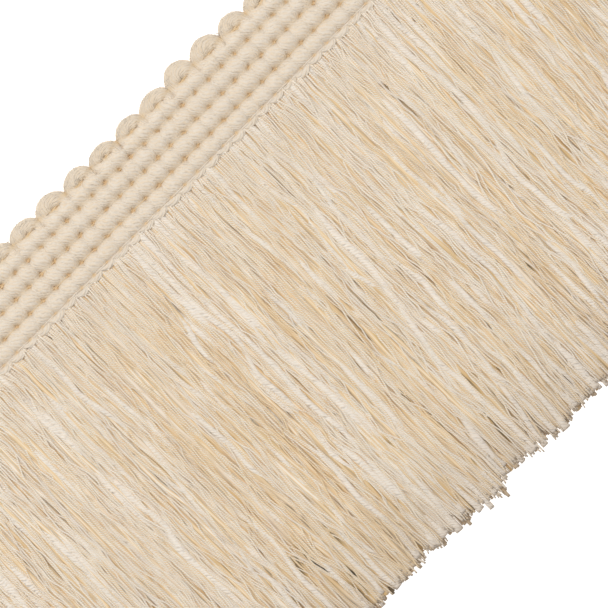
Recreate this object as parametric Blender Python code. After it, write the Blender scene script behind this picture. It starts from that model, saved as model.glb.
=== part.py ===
"""Cut fringe trim: a woven heading with a looped edge, a chain stitch, and a cut skirt of yarns.

Metres, +Z up. The trim lies face up: +X runs along it and +Y across it, from the cut ends to the
loops. The origin is on the sewing face, at the middle of the woven band. The heading is woven from
one bulky weft yarn, which passes up and down across the band, puffs up over each rib and turns
back in a loop at the edge. The skirt's yarns are woven into a narrow strip under the chain stitch.
"""

import math
import random
from collections import namedtuple

import bmesh
import bpy

MM = 0.001

# The woven band. A pick is one pass of the bulky weft across it
PICKS = 50
PICK_PITCH = 3.45 * MM
RIBS = 4
RIB_PITCH = 3.74 * MM
RIB_CREST = 3.3 * MM
PICK_VALLEY = 2.7 * MM
RIB_GROOVE = 1.75 * MM
STITCH_PIT = 1.2 * MM
PUFF_UNEVENNESS = 0.12 * MM
EDGE_SLOPE = 0.2 * MM
ROWS_PER_RIB = 3
COLUMNS_PER_PICK = 3

# The looped edge. Each loop turns one pick into the next, and stands this far out of the band
LOOP_CREST = 2.7 * MM
LOOP_VALLEY = 1.55 * MM
PICKS_PER_LOOP = 2
MIDDLE_LOOP = 4
Loop = namedtuple("Loop", "projection_mm fullness")
LOOPS = (
    Loop(2.85, 0.50),
    Loop(2.90, 0.45),
    Loop(2.66, 0.45),
    Loop(2.47, 0.50),
    Loop(2.56, 0.55),
    Loop(2.70, 0.50),
    Loop(3.55, 0.40),
    Loop(3.25, 0.50),
    Loop(2.85, 0.45),
    Loop(2.60, 0.55),
)

# The chain stitch that lies on the skirt's strip, against the last rib
SEAT_GAP = 0.3 * MM
CHAIN_WIDTH = 0.95 * MM
CHAIN_HEIGHT = 0.8 * MM
CHAIN_SCALLOP = 0.6 * MM
CHAIN_PINCH = 0.62
CHAIN_SIDES = 6
CHAIN_STATIONS_PER_PICK = 4

# The skirt: a narrow strip, and the strands whose roots are fused into it
STRIP_WIDTH = 1.5 * MM
STRIP_HEIGHT = 1.9 * MM
STRIP_SEAM = 0.93 * MM
SKIRT_LENGTH = 81 * MM
ROOT_SHARE = 0.03
STRAND_STATIONS = (0, ROOT_SHARE, 0.35, 0.68, 1)
STRAND_SHOULDER = 0.64
CUT_UNEVENNESS = 1.1 * MM
LONG_END_CHANCE = 0.06
LONG_END = 1.2 * MM
STRANDS_PER_LOOP = 5
Layer = namedtuple("Layer", "shift root_width width height root_z skirt_z sides")
LAYERS = (
    Layer(-0.26 * MM, 0.78 * MM, 0.98 * MM, 0.72 * MM, 0.12 * MM, 0, 3),
    Layer(0.26 * MM, 0.78 * MM, 0.92 * MM, 0.75 * MM, 1.02 * MM, 0.95 * MM, 4),
)
Drift = namedtuple("Drift", "spacing reach lean")
DRIFTS = (
    Drift(7.3 * MM, 0.08 * MM, 0.0),
    Drift(17 * MM, 0.20 * MM, 1.1),
    Drift(41 * MM, 0.50 * MM, 2.3),
)

# What follows from these sizes
LENGTH = PICKS * PICK_PITCH
BAND_HALF = RIBS * RIB_PITCH / 2
STRIP_TOP_EDGE = -BAND_HALF - EDGE_SLOPE - SEAT_GAP
STRIP_CUT_EDGE = STRIP_TOP_EDGE - STRIP_WIDTH
CHAIN_Z = STRIP_HEIGHT + SEAT_GAP + CHAIN_HEIGHT / 2
CHAIN_Y = STRIP_TOP_EDGE - CHAIN_WIDTH / 2

Finish = namedtuple("Finish", "name colour roughness")
BULKY_COTTON = Finish("bulky_cotton", (0.80, 0.71, 0.58), 0.9)
STITCH_COTTON = Finish("stitch_cotton", (0.82, 0.74, 0.62), 0.85)
SKIRT_YARN = Finish("skirt_yarn", (0.78, 0.68, 0.53), 0.8)


def clear_scene():
    for obj in list(bpy.data.objects):
        bpy.data.objects.remove(obj)


def material_of(finish):
    """A matt cloth material of this colour."""
    material = bpy.data.materials.new(finish.name)
    material.use_nodes = True
    shader = material.node_tree.nodes["Principled BSDF"]
    shader.inputs["Base Color"].default_value = (*finish.colour, 1)
    shader.inputs["Roughness"].default_value = finish.roughness
    shader.inputs["Metallic"].default_value = 0
    return material


def add_sides(shape, rings):
    """Joins rings of points with faces, and gives back the rings' points."""
    loops = [[shape.verts.new(point) for point in ring] for ring in rings]
    for near, far in zip(loops, loops[1:]):
        for i in range(len(near)):
            after = (i + 1) % len(near)
            shape.faces.new((near[i], near[after], far[after], far[i]))
    return loops


def add_loft(shape, rings):
    """Joins rings of points into one closed body, with a flat cap at each end."""
    loops = add_sides(shape, rings)
    shape.faces.new(loops[0])
    shape.faces.new(loops[-1])


def object_from(shape, name, finish):
    bmesh.ops.recalc_face_normals(shape, faces=shape.faces)
    mesh = bpy.data.meshes.new(name)
    shape.to_mesh(mesh)
    shape.free()
    mesh.materials.append(material_of(finish))
    obj = bpy.data.objects.new(name, mesh)
    bpy.context.scene.collection.objects.link(obj)
    return obj


def along(count):
    """Evenly spaced places along the trim, from one end to the other."""
    return [LENGTH * (i / count - 0.5) for i in range(count + 1)]


def pick_swell(x):
    """1 over the middle of a pick, and 0 where one pick meets the next."""
    return abs(math.sin(math.pi * x / PICK_PITCH))


def loop_edge(x):
    """How far the looped edge stands out of the band at x, and the loop's share of its crest."""
    loop_width = PICKS_PER_LOOP * PICK_PITCH
    number = math.floor(x / loop_width + 0.5)
    loop = LOOPS[(number + MIDDLE_LOOP) % len(LOOPS)]
    share = abs(2 * (x / loop_width - number))
    arch = max(0.0, 1 - share**2) ** loop.fullness
    projection = LOOP_VALLEY + (loop.projection_mm * MM - LOOP_VALLEY) * arch
    return projection, arch


def heading_section(x, puffs):
    """The heading's outline at x, from the skirt side over the ribs and the loop, to the back."""
    swell = pick_swell(x)
    groove = STITCH_PIT + (RIB_GROOVE - STITCH_PIT) * swell
    crest = PICK_VALLEY + (RIB_CREST - PICK_VALLEY) * swell
    points = [(x, -BAND_HALF, 0)]
    for rib in range(RIBS):
        for row in range(ROWS_PER_RIB):
            y = -BAND_HALF + (rib + row / ROWS_PER_RIB) * RIB_PITCH
            on_edge = rib == 0 and row == 0
            height = crest + puffs[rib] if row else groove
            points.append((x, y - EDGE_SLOPE * on_edge, height))
    projection, arch = loop_edge(x)
    loop_top = RIB_GROOVE + (LOOP_CREST - RIB_GROOVE) * arch
    points.append((x, BAND_HALF, groove))
    points.append((x, BAND_HALF + 0.45 * projection, loop_top))
    points.append((x, BAND_HALF + 0.85 * projection, 0.85 * loop_top))
    points.append((x, BAND_HALF + projection, 0.4 * loop_top))
    points.append((x, BAND_HALF + projection - EDGE_SLOPE, 0))
    return points


def make_heading():
    """The woven band: rows of puffed yarn between grooves, and the loops along one edge."""
    rng = random.Random(11)
    shape = bmesh.new()
    puffs = [0.0] * RIBS
    sections = []
    for column, x in enumerate(along(PICKS * COLUMNS_PER_PICK)):
        if column % COLUMNS_PER_PICK == 0:
            puffs = [rng.uniform(-PUFF_UNEVENNESS, PUFF_UNEVENNESS) for _ in range(RIBS)]
        sections.append(heading_section(x, puffs))
    add_loft(shape, sections)
    return object_from(shape, "heading", BULKY_COTTON)


def chain_section(x):
    """One ring of the chain stitch, which hangs in a shallow scallop from pick to pick."""
    hang = abs(math.cos(math.pi * x / PICK_PITCH))
    size = CHAIN_PINCH + (1 - CHAIN_PINCH) * math.sqrt(hang)
    middle_y = CHAIN_Y - CHAIN_SCALLOP * hang
    ring = []
    for side in range(CHAIN_SIDES):
        turn = 2 * math.pi * side / CHAIN_SIDES
        y = middle_y + size * CHAIN_WIDTH / 2 * math.cos(turn)
        z = CHAIN_Z + size * CHAIN_HEIGHT / 2 * math.sin(turn)
        ring.append((x, y, z))
    return ring


def make_chain_stitch():
    shape = bmesh.new()
    add_loft(shape, [chain_section(x) for x in along(PICKS * CHAIN_STATIONS_PER_PICK)])
    return object_from(shape, "chain_stitch", STITCH_COTTON)


def drift(x, down):
    """How far a strand that starts at x has wandered along the trim, at this share of its skirt."""
    wander = sum(
        d.reach * math.sin(2 * math.pi * x / d.spacing + d.lean * (1 + down)) for d in DRIFTS
    )
    return wander * down**1.2


def strand_rings(x, length, layer):
    """The rings of one strand, from its root on the strip's face to its cut end."""
    rings = []
    for station in STRAND_STATIONS:
        down = max(0.0, station - ROOT_SHARE) / (1 - ROOT_SHARE)
        half = (layer.width if down else layer.root_width) / 2
        y = STRIP_CUT_EDGE - station * length
        middle = x + drift(x, down)
        bottom = layer.root_z if station == 0 else layer.skirt_z
        top = bottom + layer.height
        shoulder = half * STRAND_SHOULDER if layer.sides == 4 else 0
        ring = [(middle - half, y, bottom), (middle + half, y, bottom), (middle + shoulder, y, top)]
        if layer.sides == 4:
            ring.append((middle - shoulder, y, top))
        rings.append(ring)
    return rings


def add_strand(shape, corners, rings):
    """Grows a strand out of a cell of the strip's face: the cell around its root, sides and end."""
    loops = add_sides(shape, rings)
    shape.faces.new(loops[-1])
    root = loops[0] if len(loops[0]) == len(corners) else [*loops[0], loops[0][-1]]
    for i in range(len(corners)):
        after = (i + 1) % len(corners)
        frame = [corners[i], corners[after], root[after]]
        if root[i] is not root[after]:
            frame.append(root[i])
        shape.faces.new(frame)


def make_skirt():
    """The strip that carries the skirt, with two layers of strands growing out of its cut edge."""
    rng = random.Random(23)
    shape = bmesh.new()
    columns = PICKS // PICKS_PER_LOOP * STRANDS_PER_LOOP
    outline = (
        (STRIP_CUT_EDGE, 0),
        (STRIP_CUT_EDGE, STRIP_SEAM),
        (STRIP_CUT_EDGE, STRIP_HEIGHT),
        (STRIP_TOP_EDGE, STRIP_HEIGHT),
        (STRIP_TOP_EDGE, 0),
    )
    sections = [[shape.verts.new((x, y, z)) for y, z in outline] for x in along(columns)]
    shape.faces.new(sections[0])
    shape.faces.new(sections[-1])
    for left, right in zip(sections, sections[1:]):
        for i in range(len(LAYERS), len(outline)):
            after = (i + 1) % len(outline)
            shape.faces.new((left[i], left[after], right[after], right[i]))
        middle = (left[0].co.x + right[0].co.x) / 2
        for row, layer in enumerate(LAYERS):
            length = SKIRT_LENGTH + rng.uniform(-1, 1) * CUT_UNEVENNESS
            if rng.random() < LONG_END_CHANCE:
                length += LONG_END
            corners = [left[row], right[row], right[row + 1], left[row + 1]]
            add_strand(shape, corners, strand_rings(middle + layer.shift, length, layer))
    return object_from(shape, "skirt", SKIRT_YARN)


def main():
    clear_scene()
    make_heading()
    make_chain_stitch()
    make_skirt()


main()
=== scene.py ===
"""The looks of a length of cut fringe trim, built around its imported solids.

Metres, +Z up. +X runs along the trim and +Y across it, from the cut ends to the looped edge. The
bulky weft and its loose fibres, the threads that bind it, the chain stitch and every yarn of the
skirt are tubes, swept along their own lines. numpy works out all the lines of a piece together.
"""

import math
from collections import namedtuple

import bpy
import numpy as np
from bpy.props import FloatProperty, FloatVectorProperty, IntProperty, PointerProperty
from bpy.types import Operator, Panel, PropertyGroup
from mathutils import Matrix, Vector


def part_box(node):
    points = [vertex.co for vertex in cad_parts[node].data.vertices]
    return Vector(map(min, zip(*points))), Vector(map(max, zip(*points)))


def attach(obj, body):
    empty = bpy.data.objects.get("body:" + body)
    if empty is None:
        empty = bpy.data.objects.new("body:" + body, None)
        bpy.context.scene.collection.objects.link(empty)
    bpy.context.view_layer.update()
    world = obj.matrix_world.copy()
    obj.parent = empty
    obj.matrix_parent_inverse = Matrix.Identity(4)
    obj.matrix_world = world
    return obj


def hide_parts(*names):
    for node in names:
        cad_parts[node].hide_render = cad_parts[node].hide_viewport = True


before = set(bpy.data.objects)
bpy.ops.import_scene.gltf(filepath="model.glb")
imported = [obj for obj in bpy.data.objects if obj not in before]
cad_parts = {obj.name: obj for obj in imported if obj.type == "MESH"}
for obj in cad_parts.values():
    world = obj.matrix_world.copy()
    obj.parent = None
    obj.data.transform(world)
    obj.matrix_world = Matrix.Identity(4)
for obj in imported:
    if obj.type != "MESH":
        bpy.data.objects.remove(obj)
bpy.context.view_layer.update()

bl_info = {
    "name": "Cut Fringe Trim",
    "version": (1, 0, 0),
    "blender": (4, 5, 0),
    "location": "3D View > Sidebar > Trim",
    "description": "Weaves the heading and lays the skirt of a cut fringe trim",
    "category": "Object",
}

MM = 0.001
TINY = 1e-12
BAKE_MAP = "OFBake"
HEADING_LOW, HEADING_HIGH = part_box("heading")
LENGTH = HEADING_HIGH.x - HEADING_LOW.x

# The photograph: its side in pixels, the size of a pixel, where its middle lies across the trim, and
# how far the trim is turned in it
PHOTO_SIDE = 608
PHOTO_SCALE = 0.1899 * MM
PHOTO_MIDDLE_Y = -39.05 * MM
PHOTO_TURN = math.radians(45)

# The loops that the photograph shows, from one end to the other: how far each stands out of the band
# and how wide it is. They repeat along the trim, and this one of them is at its middle
Loop = namedtuple("Loop", "projection_mm width_mm")
LOOPS = (
    Loop(2.72, 6.5),
    Loop(2.80, 6.4),
    Loop(2.58, 5.6),
    Loop(2.40, 6.6),
    Loop(2.42, 5.6),
    Loop(2.58, 6.3),
    Loop(3.42, 5.7),
    Loop(3.12, 7.0),
    Loop(2.75, 5.5),
    Loop(2.60, 6.3),
)
MIDDLE_LOOP = 4

# How many points the weft has along a pick, round a loop and round half a lower turn, how square its
# loops, its lower turns and its own section are, how many ridges it has, and sides to a ridge
LEG_POINTS = 36
LOOP_POINTS = 21
TURN_POINTS = 7
LOOP_FULLNESS = 1.9
TURN_FULLNESS = 2.4
WEFT_FULLNESS = 2.7
WEFT_RIDGES = 10
SIDES_PER_RIDGE = 3

# The eye of a loop starts this far inside the band, and the weft swells to its loop over this length.
# A loop reaches this far past its width, and at most this far over the next one's place
EYE_INSET = 0.6 * MM
LOOP_START = 0.8 * MM
LOOP_BULGE = 0.9 * MM
LOOP_OVERLAP = 0.5 * MM

# The weft turns back this far below the band. Its top rib is narrower than the others by this factor
LOWER_TURN = 0.8 * MM
TOP_RIB_NARROWING = 1.155

# The threads that bind the weft: to which sides of a row's middle they lie, how far apart, how high,
# how far they weave up and down, and in how many steps each is drawn for each pick
ROW_SIDES = (-1.0, 0.0, 1.0)
THREAD_APART = 0.24 * MM
THREAD_HEIGHT = 1.6 * MM
THREAD_WEAVE = 0.25 * MM
THREAD_STEPS = 5

# How much painted shade tints the weft tan over the lowest row of threads, over another row, and in a
# pit between picks, and how far that shade spreads across the trim from a row and from a pit, and
# along it from a pit
LOWEST_ROW_SHADE = 0.1
GROOVE_SHADE = 0.28
PIT_SHADE = 0.68
GROOVE_SPREAD = 0.38 * MM
PIT_SPREAD = 0.42 * MM
PIT_SPREAD_ALONG = 0.6 * MM

# The loose fibres: what share of them is at the loops, within how many points of a loop's middle, of
# how many points each is drawn, and half its thickness near its root
FUZZ_AT_LOOPS = 0.9
FUZZ_REACH = 9
FUZZ_POINTS = 4
FUZZ_HALF = 0.021 * MM

# A chain stitch: of how many points it is drawn, how many picks it reaches to each side, how far it
# lies up on the band, how high its middle is, half its thickness, and how far one end dips under the
# next
CHAIN_POINTS = 19
CHAIN_REACH = 0.6
CHAIN_INSET = 0.6 * MM
CHAIN_HEIGHT = 2.28 * MM
CHAIN_HALF = 0.36 * MM
CHAIN_DIP = 0.3 * MM

# A layer of the skirt's yarns: how many there are, in how many steps each is swept, half its width,
# between which heights it lies, how freely it wanders, how warm its colour is, where the deeper
# layers are warmer as painted shade, how deep in shade it lies, and how many yarns lie side by side in
# one tube
Layer = namedtuple("Layer", "name count steps radius low high wander warmth depth yarns")
UNDER = Layer("skirt_under", 480, 14, 0.35 * MM, 0.55 * MM, 0.75 * MM, 0.15, 1.0, 1.0, 1)
MIDDLE = Layer("skirt_middle", 260, 36, 0.58 * MM, 1.12 * MM, 1.30 * MM, 0.6, 0.75, 0.4, 3)
UPPER = Layer("skirt_upper", 350, 60, 0.21 * MM, 1.20 * MM, 1.38 * MM, 1.0, 0.6, 0.1, 1)
FACE = Layer("skirt_face", 370, 84, 0.19 * MM, 1.28 * MM, 1.48 * MM, 1.25, 0.3, 0.0, 1)
LOOSE = Layer("skirt_loose", 320, 84, 0.18 * MM, 1.38 * MM, 1.58 * MM, 1.9, 0.15, 0.0, 1)
SLUBS = Layer("skirt_slubs", 110, 64, 0.48 * MM, 0.90 * MM, 1.26 * MM, 1.3, 0.0, 0.0, 1)

# A layer less deep than this shows on top, and yarns of more steps than this are crinkled
TOP_DEPTH = 0.3
CRINKLE_STEPS = 70

# The yarns start this far up under the heading, this far from the trim's ends and this far raised,
# and those on top are tucked this far down under the chain. Over the lengths after that they come out
# of the tuck, fan out, loosen and come down
ROOT_UP = 0.05 * MM
END_CLEAR = 0.3 * MM
ROOT_LIFT = 0.8 * MM
TUCK = 0.15 * MM
TUCK_LENGTH = 1.2 * MM
FAN_LENGTH = 3.5 * MM
LOOSEN_LENGTH = 5 * MM
LOWER_LENGTH = 10 * MM

# How uneven the cut ends are from clump to clump, lock to lock and yarn to yarn, what share of the
# locks has slipped, and how much shorter the yarns are that lie in rows
CLUMP_RAGGED = 0.6 * MM
LOCK_RAGGED = 0.4 * MM
YARN_RAGGED = 0.45 * MM
SLIPPED = 0.07
ROWS_SHORTER = 0.8 * MM

# The slow sways that neighbouring yarns share: how far each goes at the cut ends, over what length it
# turns by a radian along the trim and down the skirt, and where it starts
Sway = namedtuple("Sway", "size along down start")
SWAYS = (
    Sway(0.3 * MM, 5.3 * MM, 13 * MM, 0.0),
    Sway(0.45 * MM, 11 * MM, -23 * MM, 1.3),
    Sway(0.8 * MM, 37 * MM, math.inf, 2.0),
)

# A gap where the yarns part: where it is along the trim and down the skirt, half its length, half its
# width, and how much painted shade darkens the yarns in it. It pushes yarns within this reach, fully
# from this edge on, and less and less over this length
Parting = namedtuple("Parting", "x down long wide dark")
PARTING_REACH = 4 * MM
PARTING_EDGE = 0.1 * MM
PARTING_FADE = 1.1 * MM

# The stage: half the floor's side, the camera's lens, how strong the light from all round is, and the
# softbox's power, side, distance and direction from the trim
FLOOR_HALF = 3.0
LENS = 120
SURROUNDINGS = 0.68
SOFTBOX_POWER = 1.4
SOFTBOX_SIDE = 0.4
SOFTBOX_AWAY = 0.6
SOFTBOX_WAY = Vector((-0.1, 0.5, 0.86)).normalized()

# Where the random draws of each piece start. The fine yarns take one more for each layer
WEFT_SEED = 5
CHAIN_SEED = 7
FUZZ_SEED = 13
SKIRT_SEED = 21
YARN_SEED = 31
SLUB_SEED = 41

# The sockets of a Mix node that mixes colours, by number, as others of the node share their names
MIX_FACTOR, MIX_FIRST, MIX_SECOND, MIX_RESULT = 0, 6, 7, 2

# How deep in shade a yarn is tan. From there on it darkens
HALF_SHADE = 0.4


def distance(name, description, default_mm):
    """A length property, given in millimetres and held in metres."""
    return FloatProperty(
        name=name,
        description=description,
        default=default_mm * MM,
        min=0.0,
        max=0.5,
        precision=6,
        subtype="DISTANCE",
        unit="LENGTH",
    )


def tint(name, description, default):
    """A linear colour property."""
    return FloatVectorProperty(
        name=name,
        description=description,
        default=default,
        min=0.0,
        max=1.0,
        size=3,
        subtype="COLOR",
    )


class HeadingSizes(PropertyGroup):
    """Sizes of the woven band, its loops and the chain stitch."""

    picks: IntProperty(name="Picks", description="Passes of the weft", default=50, min=2, max=400)
    ribs: IntProperty(name="Ribs", description="Ribs across the band", default=4, min=1, max=20)
    rib_pitch: distance("Rib pitch", "From one groove to the next", 3.74)
    crest: distance("Rib crest", "Height of a rib over the back", 3.28)
    groove: distance("Groove", "Height of the weft where a thread binds it", 1.7)
    weft_width: distance("Weft width", "Width of the bulky weft where it puffs up", 6.0)
    pinch: distance("Weft pinch", "How much narrower the weft is in a groove", 3.4)
    eye: distance("Eye", "Width of the hole under a loop", 0.4)
    loop_crest: distance("Loop crest", "Height of a loop over the back", 2.75)
    plies: IntProperty(name="Plies", description="Plies of the weft", default=24, min=3, max=60)
    twist: distance("Twist", "Length of weft that turns by one radian", 3.6)
    fibres: IntProperty(name="Fibres", description="Loose fibres of the weft", default=2500, min=1)
    thread: distance("Binding thread", "Thickness of a binding thread", 0.34)
    chain_width: distance("Chain width", "Width of a stitch at its middle", 1.4)
    chain_hang: distance("Chain hang", "How far a stitch sags at its middle", 0.5)


class SkirtSizes(PropertyGroup):
    """Sizes of the skirt as a whole."""

    drop: distance("Drop", "Length of the yarns below the heading", 81.75)
    crinkle: distance("Crinkle", "How far a fine yarn kinks from side to side", 0.11)
    clump: distance("Clump", "Mean width of a clump at the cut ends", 3.3)
    lock: IntProperty(name="Lock", description="Yarns that wander together", default=6, min=1)
    partings: IntProperty(name="Partings", description="Gaps between yarns", default=340, min=0)
    parting: distance("Parting", "Half width of a gap between yarns", 0.33)
    # The brown of the cut edge is painted shade
    cut: distance("Cut", "Length of the brown edge at the cut ends", 0.5)


class TrimColours(PropertyGroup):
    """Colours of the yarns and of the floor under them."""

    bulky: tint("Bulky cotton", "Soft cotton of the heading", (0.84, 0.74, 0.62))
    # Painted shade between two plies of the heading
    crease_shade: tint("Crease", "Where two plies of the heading meet", (0.85, 0.67, 0.46))
    fuzz: tint("Loose fibre", "Fine fibres that stand out of the loops", (0.74, 0.67, 0.60))
    slub: tint("Slub", "Soft thick yarns of the skirt", (0.97, 0.885, 0.78))
    # Painted shade between two plies of a slub
    hollow_shade: tint("Hollow", "Where two plies of a slub meet", (0.93, 0.78, 0.61))
    pale: tint("Pale yarn", "The palest fine yarns", (0.985, 0.895, 0.778))
    warm: tint("Warm yarn", "The warmest fine yarns", (0.90, 0.675, 0.40))
    cool: tint("Cool yarn", "The greyest fine yarns", (0.90, 0.80, 0.70))
    tan: tint("Half shade", "Between two yarns of the skirt", (0.72, 0.50, 0.25))
    # Painted shade on the yarns towards their cut ends
    cut: tint("Cut end", "Where the yarns are cut", (0.44, 0.35, 0.27))
    shade: tint("Deep shade", "Inside a parting of the skirt", (0.06, 0.045, 0.035))
    # Painted shade: the tan of the threads and the ground, and of the weft in its grooves and pits
    binding: tint("Binding thread", "Threads in the grooves and pits", (0.80, 0.595, 0.345))
    floor: tint("Floor", "The pale surface that the trim lies on", (0.9, 0.9, 0.9))


class TrimSettings(PropertyGroup):
    """All that a user would change on this trim."""

    heading: PointerProperty(type=HeadingSizes)
    skirt: PointerProperty(type=SkirtSizes)
    colours: PointerProperty(type=TrimColours)


def settings():
    return bpy.context.scene.trim_settings


def pick_pitch():
    """The distance from one pick of the weft to the next."""
    return LENGTH / settings().heading.picks


def band_half():
    """Half the width of the woven band, without its loops."""
    sizes = settings().heading
    return sizes.ribs * sizes.rib_pitch / 2


class Value:
    """A socket that holds a number. Arithmetic on it adds Math nodes."""

    def __init__(self, shader, socket):
        self.shader = shader
        self.socket = socket

    def math(self, operation, *values):
        node = self.shader.node("Math", {"operation": operation}, dict(enumerate(values)))
        return Value(self.shader, node.outputs[0])

    def __add__(self, other):
        return self.math("ADD", self, other)

    def __sub__(self, other):
        return self.math("SUBTRACT", self, other)

    def __rsub__(self, other):
        return self.math("SUBTRACT", other, self)

    def __mul__(self, other):
        return self.math("MULTIPLY", self, other)

    __radd__ = __add__
    __rmul__ = __mul__

    def cosine(self):
        return self.math("COSINE", self)

    def within(self, low, high):
        """This value as a share of the way from low to high, from 0 to 1."""
        limits = {"Value": self, "From Min": low, "From Max": high}
        return Value(self.shader, self.shader.node("MapRange", {}, limits).outputs["Result"])


class Shader:
    """Builds one material out of nodes."""

    def __init__(self, name):
        self.material = bpy.data.materials.new(name)
        self.material.use_nodes = True
        self.tree = self.material.node_tree
        self.surface = self.tree.nodes["Principled BSDF"]

    def node(self, kind, options, values):
        """Adds a node of this kind, sets its options and then its sockets' values or links."""
        made = self.tree.nodes.new("ShaderNode" + kind)
        for name, option in options.items():
            setattr(made, name, option)
        for name, value in values.items():
            self.feed(made.inputs[name], value)
        return made

    def feed(self, socket, value):
        if isinstance(value, Value):
            value = value.socket
        if isinstance(value, bpy.types.NodeSocket):
            self.tree.links.new(value, socket)
        elif socket.type == "RGBA":
            socket.default_value = (*value, 1.0)
        else:
            socket.default_value = value

    def attribute(self, name):
        node = self.node("Attribute", {"attribute_name": name}, {})
        return Value(self, node.outputs["Fac"])

    def mix(self, factor, first, second):
        """A colour between two others."""
        values = {MIX_FACTOR: factor, MIX_FIRST: first, MIX_SECOND: second}
        return self.node("Mix", {"data_type": "RGBA"}, values).outputs[MIX_RESULT]

    def shaded(self, colour):
        """This colour with painted shade: tan in half shade and dark where "shade" is 1, and brown
        where "cut" is 1.
        """
        colours = settings().colours
        shade = self.attribute("shade")
        colour = self.mix(self.attribute("cut"), colour, tuple(colours.cut))
        colour = self.mix(shade.within(0.0, HALF_SHADE), colour, tuple(colours.tan))
        return self.mix(shade.within(HALF_SHADE, 1.0), colour, tuple(colours.shade))

    def noise(self, place, detail):
        values = {"Vector": place, "Scale": 1.0, "Detail": detail}
        return Value(self, self.node("TexNoise", {}, values).outputs["Fac"])

    def cloud(self, scale, detail):
        """Noise on the object's own coordinates, of so many patches to a metre."""
        place = self.node("TexCoord", {}, {}).outputs["Object"]
        options = {"operation": "SCALE"}
        place = self.node("VectorMath", options, {0: place, "Scale": scale})
        return self.noise(place.outputs[0], detail)

    def streaks(self, across, along, offset):
        """Noise drawn out along the plies of a yarn: so many streaks to a ply, and to a metre."""
        values = {
            "X": self.attribute("ply") * across,
            "Y": self.attribute("along") * along,
            "Z": offset,
        }
        return self.noise(self.node("CombineXYZ", {}, values).outputs[0], detail=2.0)

    def ridges(self, wander):
        """1 on the crest of each ply and 0 between two of them. wander shifts them by so many plies."""
        return ((self.attribute("ply") + wander) * (2 * math.pi)).cosine() * 0.5 + 0.5

    def bump(self, height, strength, depth):
        values = {"Height": height, "Strength": strength, "Distance": depth}
        self.feed(self.surface.inputs["Normal"], self.node("Bump", {}, values).outputs["Normal"])

    def finish(self, colour, roughness, sheen):
        self.feed(self.surface.inputs["Base Color"], colour)
        self.surface.inputs["Roughness"].default_value = roughness
        self.surface.inputs["Specular IOR Level"].default_value = 0.2
        self.surface.inputs["Sheen Weight"].default_value = sheen
        self.surface.inputs["Sheen Roughness"].default_value = 0.5
        return self.material


def plied_cotton(name, crest, crease_shade, relief, wander):
    """Soft plied cotton: pale on a ply's crest, and warmer between two plies as painted shade."""
    shader = Shader(name)
    fibres = shader.streaks(across=1.3, along=1300.0, offset=0.0)
    cloudy = shader.cloud(scale=330.0, detail=2.0)
    felt = shader.cloud(scale=2600.0, detail=2.0)
    ridge = shader.ridges(cloudy * wander + shader.cloud(scale=1100.0, detail=1.0) * 0.9)
    # Warmer between two plies as painted shade, with random tone from the noise
    depth = (1 - ridge) * relief + (fibres - 0.5) * 1.2 + (cloudy - 0.5) * 0.6 + (felt - 0.5) * 0.8
    colour = shader.mix(depth.within(0.0, 1.2), tuple(crest), tuple(crease_shade))
    # Painted shade in the band's grooves and pits, in the binding threads' tan
    groove_shade = shader.attribute("groove_shade").within(0.0, 1.1)
    colour = shader.mix(groove_shade, colour, tuple(settings().colours.binding))
    height = (ridge * relief + fibres + felt * 0.7) * (1 - groove_shade * 0.6)
    shader.bump(height, strength=0.9, depth=0.18 * MM)
    return shader.finish(shader.shaded(colour), roughness=0.9, sheen=0.2)


def fine_yarn(name, relief):
    """Fine yarns of their own tones between pale, warm and grey, with dark painted shade deep in a
    parting.
    """
    colours = settings().colours
    shader = Shader(name)
    tone = shader.attribute("tone")
    fibres = shader.streaks(across=2.0, along=700.0, offset=tone * 37)
    patches = shader.cloud(scale=260.0, detail=2.0)
    ridge = shader.ridges(0.0)
    # Warmer between two plies, as painted shade
    warmth = tone + (fibres - 0.5) * 0.6 + (patches - 0.5) * 0.4 + (0.6 - ridge) * 1.2
    warmth = warmth.within(0.1, 1.0)
    colour = shader.mix(warmth, tuple(colours.pale), tuple(colours.warm))
    colour = shader.mix(shader.attribute("grey"), colour, tuple(colours.cool))
    shader.bump(fibres * 0.04 + ridge * relief, strength=1.0, depth=MM)
    return shader.finish(shader.shaded(colour), roughness=0.8, sheen=0.15)


def shaded_thread(name):
    """Thin thread in painted tan shade, seen in the grooves and pits of the band, and pale where "pale"
    is 1.
    """
    colours = settings().colours
    shader = Shader(name)
    fibres = shader.cloud(scale=2400.0, detail=2.0)
    colour = shader.mix(fibres.within(0.35, 0.75), tuple(colours.binding), tuple(colours.crease_shade))
    colour = shader.mix(shader.attribute("pale"), colour, tuple(colours.bulky))
    shader.bump(fibres, strength=0.4, depth=0.05 * MM)
    return shader.finish(colour, roughness=0.85, sheen=0.1)


def floor_finish():
    """A pale floor that glows a little, so that no shadow shows on it."""
    shader = Shader("pale_floor")
    shader.surface.inputs["Emission Color"].default_value = (1, 1, 1, 1)
    shader.surface.inputs["Emission Strength"].default_value = 0.7
    return shader.finish(tuple(settings().colours.floor), roughness=0.9, sheen=0.0)


def blend(first, second, share):
    """The first value where share is 0, and the second where it is 1."""
    return first * (1 - share) + second * share


def smooth(share):
    """An even start and an even stop, for shares from 0 to 1."""
    share = np.clip(share, 0.0, 1.0)
    return share * share * (3 - 2 * share)


def ramp(places, start, over):
    """0 up to start, and from there a smooth rise to 1 over a length."""
    return smooth((places - start) / over)


def bell(away, width):
    """1 where away is 0, falling smoothly to 0 on both sides."""
    return np.exp(-((away / width) ** 2))


def swell(places, pitch):
    """1 halfway between two lines of this pitch, and 0 on each of them."""
    return np.abs(np.sin(np.pi * places / pitch))


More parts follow.
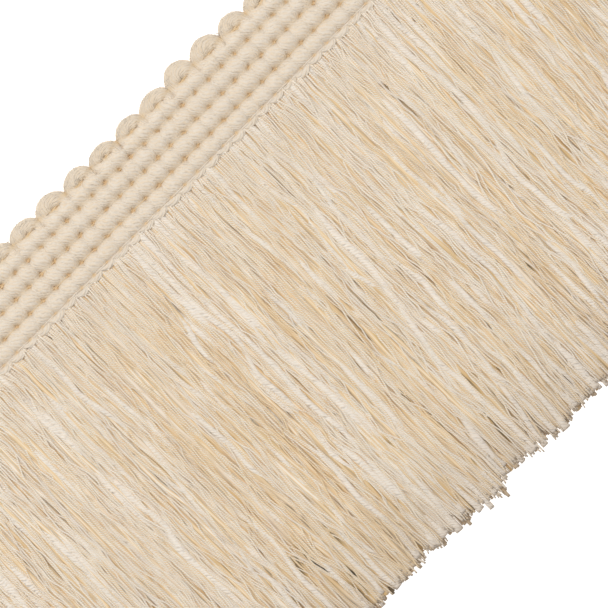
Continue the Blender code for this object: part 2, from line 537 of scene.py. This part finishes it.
def waver(rng, count, run, size, spacing):
    """A smooth random number of this size along each of many lines, with a knot at every spacing.

    Each line starts somewhere in its first spacing, so it is given knots past its end.
    """
    at = run / spacing + rng.uniform(0, 1, (count, 1))
    knots = rng.normal(size=(count, int(np.max(run) / spacing) + 3))
    low = np.floor(at).astype(int)
    rows = np.arange(count)[:, None]
    return size * blend(knots[rows, low], knots[rows, low + 1], smooth(at - low))


def superellipse(angle, fullness):
    """Points of a rounded square, which is a circle at a fullness of 2, as its across and up."""
    across, up = np.cos(angle), np.sin(angle)
    power = 2 / fullness
    return np.sign(across) * np.abs(across) ** power, np.sign(up) * np.abs(up) ** power


def sweep(lines, wide, high, turn, profile, fullness=2.0):
    """Rings round each line, whose half sizes are wide and high. profile scales a ring's points."""
    sides = len(profile)
    ahead = np.gradient(lines[:, :, :2], axis=1)
    ahead /= np.maximum(np.linalg.norm(ahead, axis=2, keepdims=True), TINY)
    angle = turn[:, :, None] + 2 * np.pi * np.arange(sides) / sides - np.pi / 2
    across, up = superellipse(angle, fullness)
    side = across * wide[:, :, None] * profile
    rings = np.repeat(lines[:, :, None, :], sides, axis=2)
    rings[..., 0] += ahead[:, :, None, 1] * side
    rings[..., 1] -= ahead[:, :, None, 0] * side
    rings[..., 2] += up * high[:, :, None] * profile
    return rings


def tube_faces(count, steps, sides):
    """Corner numbers of the faces of closed tubes: the sides as fours, and then the two ends."""
    ring = np.arange(sides)
    after = (ring + 1) % sides
    near = np.arange(steps - 1)[:, None] * sides
    quads = np.stack([near + ring, near + after, near + sides + after, near + sides + ring], -1)
    start = (np.arange(count) * steps * sides)[:, None]
    fours = (start[:, :, None] + quads.reshape(1, -1, 4)).reshape(-1, 4)
    ends = np.concatenate([start + ring[::-1], start + (steps - 1) * sides + ring])
    return fours, ends


def tube_shares(count, steps, sides):
    """How far round its tube and along it each corner lies, from 0 to 1, in the order of the faces."""
    ring, step = np.arange(sides), np.arange(steps - 1)[:, None]
    round_it = np.stack([ring, ring + 1, ring + 1, ring], -1) / sides
    along_it = np.stack([step, step, step + 1, step + 1], -1) / (steps - 1)
    fours = np.stack(np.broadcast_arrays(round_it[None], along_it), -1).reshape(-1, 2)
    first = np.stack([ring[::-1] / sides, np.zeros(sides)], -1)
    last = np.stack([ring / sides, np.ones(sides)], -1)
    return np.concatenate([np.tile(part, (count, 1)) for part in (fours, first, last)])


def bake_places(tube, shares, count, rows):
    """Where each corner lies on the bake map, on which each tube has a cell of its own in so many rows.

    A narrow margin stays free in each cell, beside the tube and at its ends.
    """
    columns = math.ceil(count / rows)
    cell = np.stack([tube % columns, tube // columns], -1)
    margin = np.array([0.08, 0.004 * rows])
    return (cell + margin + shares * (1 - 2 * margin)) / np.array([columns, rows])


def tubes(name, rings, material, plies=1, twist=None, rows=1, **points):
    """One object of closed tubes, from rings of points.

    The attribute "ply" numbers the plies round a tube, shifted by twist, and "along" is how far along
    the tube a point is. points are more attributes, which vary from point to point.
    """
    count, steps, sides, _ = rings.shape
    fours, ends = tube_faces(count, steps, sides)
    corners = np.concatenate([fours.ravel(), ends.ravel()])
    totals = np.concatenate([np.full(len(fours), 4), np.full(len(ends), sides)])
    mesh = bpy.data.meshes.new(name)
    mesh.vertices.add(count * steps * sides)
    mesh.vertices.foreach_set("co", rings.astype(np.float32).ravel())
    mesh.loops.add(len(corners))
    mesh.loops.foreach_set("vertex_index", corners.astype(np.int32))
    mesh.polygons.add(len(totals))
    mesh.polygons.foreach_set("loop_start", (np.cumsum(totals) - totals).astype(np.int32))
    mesh.update(calc_edges=True)
    mesh.shade_smooth()
    shares = tube_shares(count, steps, sides)
    places = bake_places(corners // (steps * sides), shares, count, rows)
    mesh.uv_layers.new(name=BAKE_MAP).uv.foreach_set("vector", places.astype(np.float32).ravel())
    middles = rings.mean(axis=2)
    run = np.linalg.norm(np.diff(middles, axis=1, prepend=middles[:, :1]), axis=2).cumsum(axis=1)
    points["along"] = run[:, :, None]
    for key, values in points.items():
        spread = np.broadcast_to(values, rings.shape[:3]).astype(np.float32)
        mesh.attributes.new(key, "FLOAT", "POINT").data.foreach_set("value", spread.ravel())
    shift = 0 if twist is None else (run / twist).repeat(sides).ravel()[corners]
    ply = (shares[:, 0] * plies + shift).astype(np.float32)
    mesh.attributes.new("ply", "FLOAT", "CORNER").data.foreach_set("value", ply)
    mesh.materials.append(material)
    piece = bpy.data.objects.new(name, mesh)
    bpy.context.scene.collection.objects.link(piece)
    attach(piece, "root")
    return piece


def put_in_place(piece, node):
    """Hides the imported solid that a piece stands for."""
    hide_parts(node)
    return piece


def weft_route():
    """The course of one length of weft: from a lower turn up a pick, round a loop and down the next.

    For each point it gives the place along the trim, in half picks from the loop's middle, the share
    of the way from the band's lower edge to the loop's eye, and how far out it is in the loop and in
    the lower turn, from 0 to 1.
    """
    leg = np.linspace(0, 1, LEG_POINTS)
    none = 0 * leg
    loop_angle = np.linspace(np.pi, 0, LOOP_POINTS + 2)[1:-1]
    loop_aside, loop_rise = superellipse(loop_angle, LOOP_FULLNESS)
    turn_angle = np.linspace(np.pi / 2, 0, TURN_POINTS + 1)[:-1]
    turn_aside, turn_fall = superellipse(turn_angle, TURN_FULLNESS)
    aside = [turn_aside - 2, none - 1, loop_aside, none + 1, 2 - turn_aside[::-1]]
    up = [0 * turn_fall, leg, 0 * loop_rise + 1, leg[::-1], 0 * turn_fall]
    rise = [0 * turn_fall, none, loop_rise, none, 0 * turn_fall]
    fall = [turn_fall, none, 0 * loop_rise, none, turn_fall[::-1]]
    return [np.concatenate(parts)[None, :] for parts in (aside, up, rise, fall)]


def at_loop(x):
    """1 at the middle of each loop, and 0 halfway between two of them."""
    return 0.5 + 0.5 * np.cos(np.pi * x / pick_pitch())


def binding_row(number, x):
    """Where across the trim a row of binding threads runs. The top one dips under each loop."""
    sizes = settings().heading
    across = (number - sizes.ribs / 2) * sizes.rib_pitch
    dip = 0.15 * MM - 0.8 * MM * at_loop(x)
    return across + (number == sizes.ribs) * dip


def painted_groove_shade(x, y):
    """Painted shade near a binding thread and, most of all, in the pits between the picks."""
    pitch = pick_pitch()
    nearest_pit = np.abs((x / pitch + 0.5) % 1 - 0.5) * pitch
    near = np.zeros(x.shape)
    for number in range(settings().heading.ribs + 1):
        away = y - binding_row(number, x)
        near += (GROOVE_SHADE if number > 0 else LOWEST_ROW_SHADE) * bell(away, GROOVE_SPREAD)
        near += PIT_SHADE * bell(away, PIT_SPREAD) * bell(nearest_pit, PIT_SPREAD_ALONG)
    return near


def loop_shapes(middles):
    """How far each loop at these places stands out of the band, and half its width."""
    numbers = [int(round(x / pick_pitch() / 2)) + MIDDLE_LOOP for x in middles[:, 0]]
    kinds = [LOOPS[number % len(LOOPS)] for number in numbers]
    projection = np.array([[kind.projection_mm * MM] for kind in kinds])
    half = np.array([[kind.width_mm * MM / 2] for kind in kinds])
    return projection, half


def weft_form(rng, loops):
    """The lines of the weft, half its width and height, how far it has run, and where it arches."""
    sizes = settings().heading
    pitch, band = pick_pitch(), band_half()
    aside, up, rise, fall = weft_route()
    middles = ((np.arange(loops) - (loops - 1) / 2) * 2 * pitch)[:, None]
    projection, loop_half = loop_shapes(middles)
    # The weft's half width where it goes over the eye of its loop, and beside it
    eye_y = band - EYE_INSET
    over = (band + projection - eye_y - sizes.eye / 2) / 2
    beside = (np.minimum(loop_half + LOOP_BULGE, pitch + LOOP_OVERLAP) - sizes.eye / 2) / 2
    y = -band + up * (eye_y + band) + rise * (band + projection - over - eye_y) - fall * LOWER_TURN
    arched = ramp(rise, 0, 0.6)
    looped = ramp(y, eye_y - LOOP_START, LOOP_START)
    # It puffs up over each rib, is pinched in each groove, and stays full in its loop
    last_groove = (sizes.ribs - 1) * sizes.rib_pitch
    place = y + band
    narrowed = last_groove + (place - last_groove) * TOP_RIB_NARROWING
    place = np.where(place > last_groove, narrowed, place).clip(0, 2 * band)
    puffed = np.maximum(blend(swell(place, sizes.rib_pitch), 1, arched), 0.3 * looped)
    puffed_half = (sizes.weft_width - sizes.pinch * (1 - puffed)) / 2 * (1 - 0.25 * fall)
    x = middles + aside * blend(pitch / 2, sizes.eye / 2 + beside, looped)
    half = blend(puffed_half, blend(beside, over, rise**2), looped)
    run = np.hypot(np.diff(x, prepend=x[:, :1]), np.diff(y, prepend=y[:, :1])).cumsum(axis=1)
    woven = 1 - fall
    x = x + woven * waver(rng, loops, run, size=0.11 * MM, spacing=3.1 * MM)
    half = half * (1 + waver(rng, loops, run, size=0.05, spacing=4.3 * MM))
    uneven = 1 + waver(rng, loops, run, size=0.03, spacing=3.3 * MM)
    crest = blend(sizes.crest, sizes.loop_crest, looped) * np.minimum(uneven, 1.02)
    height = puffed**0.6
    top = sizes.groove * (1 - 0.4 * fall) + (crest - sizes.groove) * height
    bottom = 0.3 * MM * (1 - height) * woven + 0.03 * MM
    lines = np.stack([x, y, (top + bottom) / 2], -1)
    return lines, half, (top - bottom) / 2, run, arched


def make_weft():
    """The bulky weft: up and down across the band, puffed over each rib, looped at the edge."""
    sizes = settings().heading
    rng = np.random.default_rng(WEFT_SEED)
    loops = sizes.picks // 2
    lines, half, high, run, arched = weft_form(rng, loops)
    turn = run / sizes.twist + rng.uniform(0, 2 * np.pi, (loops, 1))
    on_ridge = np.arange(WEFT_RIDGES * SIDES_PER_RIDGE) % SIDES_PER_RIDGE == 0
    rings = sweep(lines, half, high, turn, np.where(on_ridge, 1.0, 0.96), WEFT_FULLNESS)
    rings[..., 0] = rings[..., 0].clip(-LENGTH / 2, LENGTH / 2)
    rings[..., 2] = np.maximum(rings[..., 2], 0.01 * MM)
    # Painted shade: tan in the grooves and pits, and a little on the loops
    looks = {
        "groove_shade": painted_groove_shade(rings[..., 0], rings[..., 1]),
        "shade": 0.06 * arched[:, :, None],
    }
    colours = settings().colours
    finish = plied_cotton("weft_cotton", colours.bulky, colours.crease_shade, relief=0.55, wander=1.6)
    piece = tubes("heading_weft", rings, finish, plies=sizes.plies, rows=3, **looks)
    put_in_place(piece, "heading")
    return rings


def make_fuzz(weft):
    """Fine fibres that have worked loose from the weft, most of them round its loops."""
    sizes = settings().heading
    rng = np.random.default_rng(FUZZ_SEED)
    count = sizes.fibres
    loops, stations, sides, _ = weft.shape
    loop = rng.integers(0, loops, count)
    station = rng.integers(1, stations - 1, count)
    looped = rng.uniform(size=count) < FUZZ_AT_LOOPS
    station[looped] = stations // 2 + rng.integers(-FUZZ_REACH, FUZZ_REACH + 1, looped.sum())
    # Each fibre starts at the outermost of four places round the weft
    tries = weft[loop, station, rng.integers(0, sides, (4, count))]
    out = np.linalg.norm((tries - weft.mean(axis=(1, 2))[loop])[..., :2], axis=2)
    root = tries[out.argmax(axis=0), np.arange(count)]
    outward = root - weft[loop, station].mean(axis=1)
    way = np.arctan2(outward[:, 1], outward[:, 0]) + rng.normal(0, 0.7, count)
    share = np.linspace(0, 1, FUZZ_POINTS)[None, :]
    long = rng.uniform(0.35, 0.95, (count, 1)) * MM
    angle = way[:, None] + rng.normal(0, 1.0, (count, 1)) * share
    step = long / (FUZZ_POINTS - 1) * (share > 0)
    x = root[:, :1] + (np.cos(angle) * step).cumsum(axis=1)
    y = root[:, 1:2] + (np.sin(angle) * step).cumsum(axis=1)
    z = np.clip(root[:, 2:] + share * 0.1 * MM, 0.1 * MM, sizes.crest)
    size = FUZZ_HALF * (1.2 - share) + 0 * x
    rings = sweep(np.stack([x, y, z], -1), size, size, 0 * size, np.ones(3))
    colours = settings().colours
    finish = plied_cotton("loose_cotton", colours.fuzz, colours.fuzz, relief=0.5, wander=0.0)
    piece = tubes("heading_fuzz", rings, finish, rows=20)
    return put_in_place(piece, "heading")


def make_binding(finish):
    """Three thin threads in each groove: each goes over every other pick, and under the next."""
    sizes = settings().heading
    pitch, rows = pick_pitch(), sizes.ribs + 1
    x = np.linspace(-LENGTH / 2, LENGTH / 2, sizes.picks * THREAD_STEPS + 1)[None, :]
    number = np.repeat(np.arange(rows), len(ROW_SIDES))[:, None]
    side = np.tile(ROW_SIDES, rows)[:, None]
    lowest, highest = number == 0, number == sizes.ribs
    y = binding_row(number, x) + side * THREAD_APART + 0.28 * MM * lowest
    # The middle thread of a row goes over the picks that the other two go under
    wave = (1 - 2 * np.abs(side)) * np.sin(np.pi * (x + LENGTH / 2) / pitch)
    z = THREAD_HEIGHT + THREAD_WEAVE * np.clip(1.6 * wave, -1, 1) * (1 - 0.6 * lowest)
    # The lowest row lies over the weft, pale between the pits where it is out of the painted shade, and
    # the highest comes up in each eye
    z = z + (0.5 + 0.25 * swell(x, pitch)) * MM * lowest
    z = z + 0.65 * MM * at_loop(x) ** 4 * highest
    pale = lowest * swell(x, pitch) ** 0.5
    lines = np.stack(np.broadcast_arrays(x, y, z), -1)
    size = np.full(lines.shape[:2], sizes.thread / 2)
    rings = sweep(lines, size, size, 0 * size, np.ones(4))
    piece = tubes("binding_threads", rings, finish, pale=pale[:, :, None])
    return put_in_place(piece, "heading")


def make_ground(finish):
    """The thin woven ground of the heading, which the weft is bound to. It shows in the pits."""
    sizes = settings().heading
    low, high = -band_half() - 0.3 * MM, band_half() + 0.1 * MM
    half = LENGTH / 2 - 0.4 * MM
    thick = 0.3 * MM
    ribbing = 0.12 * MM
    y = np.linspace(low, high, sizes.ribs * 8 + 1)[None, :]
    middle = 1.3 * MM + ribbing * np.cos(2 * np.pi * y / sizes.rib_pitch)
    rings = np.zeros((*y.shape, 4, 3))
    rings[..., 0] = np.array([half, half, -half, -half])
    rings[..., 1] = y[..., None]
    rings[..., 2] = middle[..., None] + np.array([-1, 1, 1, -1]) * thick / 2
    # The ground takes the thread's tan, which is painted shade
    piece = tubes("heading_ground", rings, finish)
    high - low
    return put_in_place(piece, "heading")


def make_chain():
    """The chain stitch: a shallow crescent of plied yarn from each pick to the next."""
    sizes = settings().heading
    rng = np.random.default_rng(CHAIN_SEED)
    pitch = pick_pitch()
    share = np.linspace(-1, 1, CHAIN_POINTS)[None, :]
    end = LENGTH / 2 - 0.55 * pitch
    middles = ((np.arange(sizes.picks + 1) - sizes.picks / 2)[:, None] * pitch).clip(-end, end)
    count = len(middles)
    uneven = 1 + 0.1 * rng.normal(size=(count, 1))
    full = np.sqrt(np.maximum(1 - np.abs(share) ** 2.4, 0.28)) * uneven
    wide = sizes.chain_width / 2 * full
    x = middles + share * pitch * CHAIN_REACH
    y = -band_half() + CHAIN_INSET - wide - sizes.chain_hang * (1 - np.abs(share) ** 2)
    y = y + (rng.normal(size=(count, 1)) + share * rng.normal(size=(count, 1))) * 0.07 * MM
    z = CHAIN_HEIGHT - CHAIN_DIP * np.maximum(share, 0) ** 3
    lines = np.stack(np.broadcast_arrays(x, y, z), -1)
    turn = share * 1.6 + rng.uniform(0, 6, (count, 1))
    ridges = np.where(np.arange(12) % 2 == 0, 1.0, 0.9)
    rings = sweep(lines, wide, CHAIN_HALF * full, turn, ridges, fullness=1.7)
    colours = settings().colours
    finish = plied_cotton("chain_cotton", colours.bulky, colours.crease_shade, relief=0.5, wander=1.6)
    piece = tubes("chain_stitch_yarn", rings, finish, plies=6, rows=2)
    return put_in_place(piece, "chain_stitch")


class Skirt:
    """How the skirt as a whole lies, which all its yarns share."""

    def __init__(self):
        self.sizes = settings().skirt
        self.top = -band_half() + ROOT_UP
        rng = np.random.default_rng(SKIRT_SEED)
        self.set_clumps(rng)
        self.set_partings(rng)

    def set_clumps(self, rng):
        """Where the clumps at the cut ends are, how much lower each hangs, and how tightly it draws."""
        count = int(LENGTH / self.sizes.clump)
        width = rng.uniform(0.5, 1.5, count)
        width = width / width.sum() * LENGTH
        self.clumps = width.cumsum() - width / 2 - LENGTH / 2
        self.clump_drop = rng.normal(0, CLUMP_RAGGED, count)
        self.clump_pull = rng.uniform(0.0, 0.4, count)

    def set_partings(self, rng):
        """Where the yarns part. More and wider partings lie lower down, where a few are slits of dark
        painted shade.
        """
        many = self.sizes.partings
        x = rng.uniform(-LENGTH / 2, LENGTH / 2, many)
        down = rng.uniform(0.04, 1.0, many) ** 0.6 * self.sizes.drop
        low = down / self.sizes.drop
        long = rng.uniform(1.5, 5.5, many) * MM
        wide = rng.uniform(0.4, 1.2, many) * self.sizes.parting * (0.6 + 0.7 * low)
        likely = 0.6 * low**3 * (low > 0.6)
        dark = (rng.uniform(size=many) < likely) * rng.uniform(0.8, 1, many)
        wide = wide * (1 - (0.55 - 0.25 * low) * dark)
        # Every parting paints at least a half shade of tan, more of it lower down
        dark = np.maximum(dark, 0.2 + 0.2 * low)
        self.partings = [Parting(*values) for values in zip(x, down, long, wide, dark)]

    def sway(self, x, down):
        """How far the sways take a yarn aside."""
        waves = [sway.size * np.sin(x / sway.along + down / sway.down + sway.start) for sway in SWAYS]
        return sum(waves) * down / self.sizes.drop

    def part(self, x, down):
        """How far each parting pushes the yarns aside, and how deep in its shade they lie."""
        push, shade = np.zeros(x.shape), np.zeros(x.shape)
        steps = x.shape[1]
        for parting in self.partings:
            level = min(int(parting.down / self.sizes.drop * steps), steps - 1)
            near = np.abs(x[:, level] - parting.x) < PARTING_REACH
            off = x[near, level][:, None] - parting.x
            here = bell(down[near] - parting.down, parting.long)
            aside = np.tanh(off / PARTING_EDGE) * np.exp(-np.abs(off) / PARTING_FADE)
            push[near] += here * parting.wide * aside
            shade[near] += here * parting.dark * bell(off, 1.3 * parting.wide)
        return push, np.minimum(shade, 1)

    def end_shade(self, share):
        """How much painted shade browns the yarns towards their cut ends."""
        return 0.21 * ramp(share, 0.75, 0.23) + 0.6 * ramp(share, 0.99, 0.01)

    def hang(self, rng, layer, lock_size):
        """Where a layer's yarns start and how long they are, their clumps, locks and locks' slips."""
        count = layer.count
        jitter = (rng.uniform(0, 1, count) - 0.5) * min(layer.wander, 1)
        root = ((np.arange(count) + 0.5 + jitter) / count - 0.5) * (LENGTH - 2 * END_CLEAR)
        clump = np.abs(root[:, None] - self.clumps).argmin(axis=1)
        length = self.sizes.drop + self.clump_drop[clump] + rng.normal(0, YARN_RAGGED, count)
        lock = np.arange(count)
        if lock_size > 1:
            lock = (lock + rng.integers(-2, 3, count)).clip(0, count - 1) // lock_size
        locks = lock[-1] + 2
        # A few locks have slipped, and stand out past the others at the cut ends
        slip = (rng.uniform(size=locks) < SLIPPED) * rng.uniform(0.8, 2.2, locks) * MM
        if layer.yarns == 1:
            length += (slip + rng.normal(0, LOCK_RAGGED, locks))[lock]
        else:
            length -= ROWS_SHORTER
        return root, length, clump, lock, slip

    def fan_out(self, root, down, depth):
        """Where the yarns of each pick run, as they spread from its stitch over their first stretch."""
        pick = (np.floor(root / pick_pitch()) + 0.5) * pick_pitch()
        fan = 1 - 0.12 * (1 - depth) * (1 - ramp(down, 0, FAN_LENGTH))
        return pick + (root - pick) * fan

    def draw_together(self, x, share, depth, clump, lock, slip):
        """Draws the yarns in to the middle of their clump, and those of a slipped lock to its own."""
        pull_start = 0.7 + 0.24 * depth
        pull = self.clump_pull[clump][:, None] * ramp(share, pull_start, 1 - pull_start)
        x = x + (self.clumps[clump][:, None] - x) * pull
        many = np.maximum(np.bincount(lock, None, len(slip)), 1)
        middle = np.bincount(lock, x[:, -1], len(slip)) / many
        gathered = 0.8 * (slip > 0)[lock][:, None] * ramp(share, 0.88, 0.12)
        return x + (middle[lock][:, None] - x) * gathered

    def lay(self, rng, layer, lock_size):
        """The lines of a layer's yarns, the shade on them, and how far down the skirt each point is."""
        sizes = self.sizes
        count, depth = layer.count, layer.depth
        # The last step of each yarn is its cut edge, brown with painted shade
        share = np.append(np.linspace(0, 1 - sizes.cut / sizes.drop, layer.steps - 1), 1)[None, :]
        run = share * sizes.drop
        root, length, clump, lock, slip = self.hang(rng, layer, lock_size)
        down = length[:, None] * share
        root = root[:, None]
        x = self.fan_out(root, down, depth) + self.sway(root, down)
        spread = np.sqrt(share)
        together = spread * waver(rng, len(slip), run, size=0.5 * MM, spacing=17 * MM)
        together = together + waver(rng, len(slip), run, size=0.14 * MM, spacing=6 * MM)
        alone = spread * waver(rng, count, run, size=0.44 * MM, spacing=21 * MM)
        alone = alone + waver(rng, count, run, size=0.25 * MM, spacing=8 * MM)
        begun = ramp(down, 0, LOOSEN_LENGTH)
        x = x + (together[lock] + alone) * begun * layer.wander
        if layer.steps > CRINKLE_STEPS:
            x = x + begun * waver(rng, count, run, size=sizes.crinkle, spacing=1.5 * MM)
        x = self.draw_together(x, share, depth, clump, lock, slip)
        push, shade = self.part(x, down)
        x = x + push * max(0, 1 - 2.5 * depth)
        height = rng.uniform(layer.low, layer.high, (count, 1))
        height = height + (1 - depth) * waver(rng, count, run, size=0.14 * MM, spacing=9 * MM)
        lift = ROOT_LIFT * (1 - 0.4 * depth**2) * (1 - ramp(down, 0, LOWER_LENGTH))
        tuck = TUCK * (depth < TOP_DEPTH) * (1 - ramp(down, 0, TUCK_LENGTH))
        settle = 1 - 0.15 * ramp(share, 0.6, 0.4)
        z = np.maximum(height * settle + lift - tuck, layer.radius)
        lines = np.stack([x, np.broadcast_to(self.top - down, x.shape), z], -1)
        return lines, shade, share


def yarn_tones(rng, layer, roots, share):
    """How warm yarns are: alike in small groups, paler at the trim's ends and, as painted light, on top
    at the roots.
    """
    count = layer.count
    group = np.arange(count) * layer.yarns // 8
    tone = layer.warmth + 0.25 * rng.normal(size=group[-1] + 1)[group] + 0.22 * rng.normal(size=count)
    inside = ramp(LENGTH / 2 - np.abs(roots), 0, 2.5 * MM)
    tone = (np.clip(tone, 0, 1) * (0.3 + 0.7 * inside))[:, None, None]
    # Yarns on top are paler near the roots, as painted light
    if layer.depth < TOP_DEPTH:
        tone = tone * (0.2 + 0.8 * ramp(share, 0, 0.3))[:, :, None]
    return tone


def make_fine_yarns(skirt, layer, seed, finish):
    """One layer of the skirt's fine yarns."""
    rng = np.random.default_rng(seed)
    lines, shade, share = skirt.lay(rng, layer, skirt.sizes.lock)
    count = layer.count
    size = layer.radius * (1 + 0.14 * rng.normal(size=(count, 1))) + 0 * share
    if layer.yarns == 1:
        turn = rng.uniform(-0.3, 0.3, (count, 1)) + 0 * share
        rings = sweep(lines, size, size, turn, np.ones(3))
        plies, twist = 2, -0.45 * MM
    else:
        rings = sweep(lines, size, 0.3 * size, 0 * size, np.ones(6))
        plies, twist = 2 * layer.yarns, None
    rings[..., 2] = np.maximum(rings[..., 2], 0.02 * MM)
    tone = yarn_tones(rng, layer, lines[:, 0, 0], share)
    grey = (rng.uniform(size=(count, 1, 1)) < 0.1) * rng.uniform(0.2, 0.7, (count, 1, 1))
    # Painted shade towards the cut ends, more of it on the deeper layers
    cut = skirt.end_shade(share) + 0.5 * layer.depth * ramp(share, 0.9, 0.1)
    cut = np.broadcast_to(cut, size.shape)[:, :, None]
    shade = (shade * min(1, layer.depth * 2.5) + 0.1 * layer.depth).clip(0, 0.95)[:, :, None]
    looks = {"tone": tone, "grey": grey, "shade": shade, "cut": cut}
    piece = tubes(layer.name, rings, finish, plies=plies, twist=twist, **looks)
    return put_in_place(piece, "skirt")


def make_slubs(skirt, layer, seed):
    """The thick, softly twisted yarns among the fine ones. Each wanders on its own."""
    rng = np.random.default_rng(seed)
    lines, _, share = skirt.lay(rng, layer, lock_size=1)
    count = layer.count
    run = share * skirt.sizes.drop
    thick = 1 + waver(rng, count, run, size=0.2, spacing=7 * MM) + 0.3 * ramp(share, 0.97, 0.03)
    thick = layer.radius * rng.uniform(0.75, 1.4, (count, 1)) * np.clip(thick, 0.5, 1.6)
    rings = sweep(lines, thick, thick * 0.75, 0 * thick, np.ones(8))
    rings[..., 2] = np.maximum(rings[..., 2], 0.05 * MM)
    colours = settings().colours
    finish = plied_cotton("slub_cotton", colours.slub, colours.hollow_shade, relief=0.7, wander=3.0)
    # Painted shade towards the cut ends
    cut = np.broadcast_to(skirt.end_shade(share), thick.shape)[:, :, None]
    piece = tubes(layer.name, rings, finish, plies=5, twist=-0.7 * MM, cut=cut)
    return put_in_place(piece, "skirt")


def lay_floor(scene):
    """The square floor that the trim lies on."""
    mesh = bpy.data.meshes.new("floor")
    corners = [(x * FLOOR_HALF, y * FLOOR_HALF, 0) for x, y in ((-1, -1), (1, -1), (1, 1), (-1, 1))]
    mesh.from_pydata(corners, [], [(0, 1, 2, 3)])
    mesh.materials.append(floor_finish())
    floor = bpy.data.objects.new("floor", mesh)
    scene.collection.objects.link(floor)


def light(scene, aim):
    """Even light from all round, and a softbox high up on the side of the looped edge."""
    world = bpy.data.worlds.new("studio")
    world.use_nodes = True
    background = world.node_tree.nodes["Background"]
    background.inputs["Color"].default_value = (1, 1, 1, 1)
    background.inputs["Strength"].default_value = SURROUNDINGS
    scene.world = world
    softbox = bpy.data.lights.new("softbox", "AREA")
    softbox.shape = "SQUARE"
    softbox.size = SOFTBOX_SIDE
    softbox.energy = SOFTBOX_POWER
    lamp = bpy.data.objects.new("softbox", softbox)
    lamp.location = aim + SOFTBOX_WAY * SOFTBOX_AWAY
    lamp.rotation_euler = SOFTBOX_WAY.to_track_quat("Z", "Y").to_euler()
    scene.collection.objects.link(lamp)


def look_down(scene, aim):
    """The camera straight above, turned as the photograph is, at the height that gives its scale."""
    camera = bpy.data.cameras.new("camera")
    camera.lens = LENS
    camera.clip_start, camera.clip_end = 0.01, 20
    away = PHOTO_SIDE * PHOTO_SCALE * camera.lens / camera.sensor_width
    view = bpy.data.objects.new("camera", camera)
    turn = Matrix.Rotation(-PHOTO_TURN, 4, "Z")
    view.matrix_world = Matrix.Translation(aim + Vector((0, 0, away))) @ turn
    scene.collection.objects.link(view)
    scene.camera = view


class TRIM_OT_stage(Operator):
    """Lay the floor and set the camera and the lights"""

    bl_idname = "trim.stage"
    bl_label = "Stage"

    def execute(self, context):
        scene = context.scene
        aim = Vector((0, PHOTO_MIDDLE_Y, 0))
        lay_floor(scene)
        light(scene, aim)
        look_down(scene, aim)
        scene.view_settings.view_transform = "Standard"
        scene.cycles.diffuse_bounces = 12
        return {"FINISHED"}


class TRIM_OT_heading(Operator):
    """Weave the band with its looped edge, and bind it"""

    bl_idname = "trim.heading"
    bl_label = "Heading"

    def execute(self, context):
        make_fuzz(make_weft())
        tan = shaded_thread("shaded_thread")
        make_binding(tan)
        make_ground(tan)
        return {"FINISHED"}


class TRIM_OT_chain(Operator):
    """Stitch the chain along the heading's lower edge"""

    bl_idname = "trim.chain"
    bl_label = "Chain stitch"

    def execute(self, context):
        make_chain()
        return {"FINISHED"}


class TRIM_OT_skirt(Operator):
    """Lay the skirt's fine yarns and slubs"""

    bl_idname = "trim.skirt"
    bl_label = "Skirt"

    def execute(self, context):
        skirt = Skirt()
        single = fine_yarn("fine_cotton", relief=0.018)
        side_by_side = fine_yarn("fine_cotton_rows", relief=0.06)
        for number, layer in enumerate((UNDER, MIDDLE, UPPER, FACE, LOOSE)):
            finish = single if layer.yarns == 1 else side_by_side
            make_fine_yarns(skirt, layer, YARN_SEED + number, finish)
        make_slubs(skirt, SLUBS, SLUB_SEED)
        return {"FINISHED"}


OPERATORS = (TRIM_OT_stage, TRIM_OT_heading, TRIM_OT_chain, TRIM_OT_skirt)


class TRIM_PT_panel(Panel):
    """The trim's sizes, colours and steps"""

    bl_label = "Cut Fringe Trim"
    bl_idname = "TRIM_PT_panel"
    bl_space_type = "VIEW_3D"
    bl_region_type = "UI"
    bl_category = "Trim"

    def draw(self, context):
        trim = context.scene.trim_settings
        for group in (trim.heading, trim.skirt, trim.colours):
            box = self.layout.box()
            for name in group.__annotations__:
                box.prop(group, name)
        for operator in OPERATORS:
            self.layout.operator(operator.bl_idname)


CLASSES = (HeadingSizes, SkirtSizes, TrimColours, TrimSettings, *OPERATORS, TRIM_PT_panel)


def register():
    for kind in CLASSES:
        bpy.utils.register_class(kind)
    bpy.types.Scene.trim_settings = PointerProperty(type=TrimSettings)


def unregister():
    del bpy.types.Scene.trim_settings
    for kind in reversed(CLASSES):
        bpy.utils.unregister_class(kind)


def main():
    register()
    bpy.ops.trim.stage()
    bpy.ops.trim.heading()
    bpy.ops.trim.chain()
    bpy.ops.trim.skirt()


if __name__ == "__main__":
    main()
